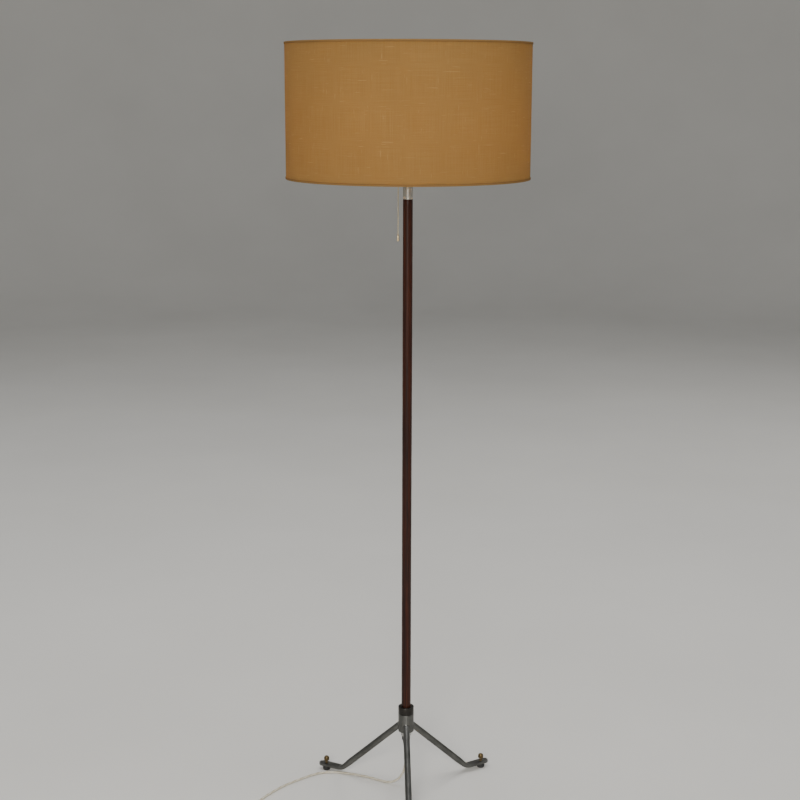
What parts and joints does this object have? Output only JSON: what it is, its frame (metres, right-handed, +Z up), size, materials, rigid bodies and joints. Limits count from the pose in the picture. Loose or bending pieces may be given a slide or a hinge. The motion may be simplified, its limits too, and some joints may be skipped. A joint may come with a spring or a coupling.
{
  "type": "tripod floor lamp",
  "caption": "Floor lamp with a drum shade on a slim wooden stem, bent steel tripod legs with brass levelling screws, and a pull switch.",
  "frame": {"origin": "on the floor under the stem, centre of the base of the lamp", "axes": "+Z up along the stem, the front leg points along -Y, the other two point to +X and -X, 30 degrees back"},
  "size_m": [0.5948, 0.5, 1.618],
  "materials": {
    "satin_steel": "satin, aged",
    "satin_nickel": "satin nickel plate",
    "brass": "aged, lightly polished",
    "dark_wood": "oiled dark reddish brown",
    "linen": "natural linen, plain weave",
    "shade_laminate": "matt translucent sheet",
    "white_wire": "white powder coat",
    "phenolic": "dark brown moulded",
    "black_plastic": "matt black",
    "clear_flex": "pale translucent sheath",
    "ivory_plastic": "semi-gloss moulded",
    "opal_glass": "opal coated inside",
    "bulb_metal": "bright pressed"
  },
  "bodies": {
    "base": {"hub": "satin_steel", "leg_front": "satin_steel", "leg_right": "satin_steel", "leg_left": "satin_steel", "base_washer": "satin_steel", "base_nut": "satin_steel", "stem_tube": "satin_steel", "stem_wood": "dark_wood", "cord_bushing": "black_plastic", "inner_flex": "clear_flex", "neck_sleeve": "satin_nickel", "holder_cap": "satin_nickel", "holder_lock_nut": "satin_steel", "switch_block": "phenolic", "holder_body": "phenolic", "holder_insulator": "phenolic", "screw_shell": "brass", "centre_contact": "brass", "shade_ring_lower": "phenolic", "shade_ring_upper": "phenolic", "pull_spout": "satin_nickel", "cord_run": "clear_flex", "cord_tail": "clear_flex", "cord_coil": "clear_flex", "cord_tie": "black_plastic", "plug_body": "ivory_plastic", "plug_pin_a": "satin_nickel", "plug_pin_b": "satin_nickel"},
    "foot_front": {"glide_front": "black_plastic"},
    "foot_right": {"glide_right": "black_plastic"},
    "foot_left": {"glide_left": "black_plastic"},
    "screw_front": {"levelling_screw_front": "brass"},
    "screw_right": {"levelling_screw_right": "brass"},
    "screw_left": {"levelling_screw_left": "brass"},
    "pull": {"pull_chain": "brass", "pull_knob": "brass"},
    "shade": {"shade_cloth": "linen", "shade_liner": "shade_laminate", "shade_top_hem": "linen", "shade_bottom_hem": "linen", "shade_top_wire": "white_wire", "shade_bottom_wire": "white_wire", "shade_carrier": "white_wire"},
    "bulb_tip": {"bulb_contact": "bulb_metal"},
    "bulb": {"bulb_glass": "opal_glass", "bulb_cap": "bulb_metal"}
  },
  "joints": [
    {"name": "foot_front_travel", "type": "slide", "parent": "base", "child": "foot_front", "axis": [0, 0, -1], "range_m": [0, 0.006]},
    {"name": "foot_right_travel", "type": "slide", "parent": "base", "child": "foot_right", "axis": [0, 0, -1], "range_m": [0, 0.006]},
    {"name": "foot_left_travel", "type": "slide", "parent": "base", "child": "foot_left", "axis": [0, 0, -1], "range_m": [0, 0.006]},
    {"name": "foot_front_turn", "type": "hinge", "parent": "foot_front", "child": "screw_front", "pos_m": [0, -0.204, 0.02], "axis": [0, 0, -1], "range_deg": [0, 2160]},
    {"name": "foot_right_turn", "type": "hinge", "parent": "foot_right", "child": "screw_right", "pos_m": [0.17667, 0.102, 0.02], "axis": [0, 0, -1], "range_deg": [0, 2160]},
    {"name": "foot_left_turn", "type": "hinge", "parent": "foot_left", "child": "screw_left", "pos_m": [-0.17667, 0.102, 0.02], "axis": [0, 0, -1], "range_deg": [0, 2160]},
    {"name": "pull_switch", "type": "slide", "parent": "base", "child": "pull", "axis": [0, 0, -1], "range_m": [0, 0.007], "stiffness_N_per_m": 250, "springref_m": -0.006},
    {"name": "shade_turn", "type": "hinge", "parent": "base", "child": "shade", "pos_m": [0, 0, 1.372], "axis": [0, 0, 1], "continuous": true},
    {"name": "bulb_travel", "type": "slide", "parent": "base", "child": "bulb_tip", "axis": [0, 0, 1], "range_m": [0, 0.018]},
    {"name": "bulb_turn", "type": "hinge", "parent": "bulb_tip", "child": "bulb", "pos_m": [0, 0, 1.39], "axis": [0, 0, 1], "range_deg": [0, 1786]}
  ],
  "couplings": [
    {"joint": "foot_front_turn", "follows": "foot_front_travel", "rad_per_m": 6283.2},
    {"joint": "foot_right_turn", "follows": "foot_right_travel", "rad_per_m": 6283.2},
    {"joint": "foot_left_turn", "follows": "foot_left_travel", "rad_per_m": 6283.2},
    {"joint": "bulb_turn", "follows": "bulb_travel", "rad_per_m": 1731.4}
  ]
}
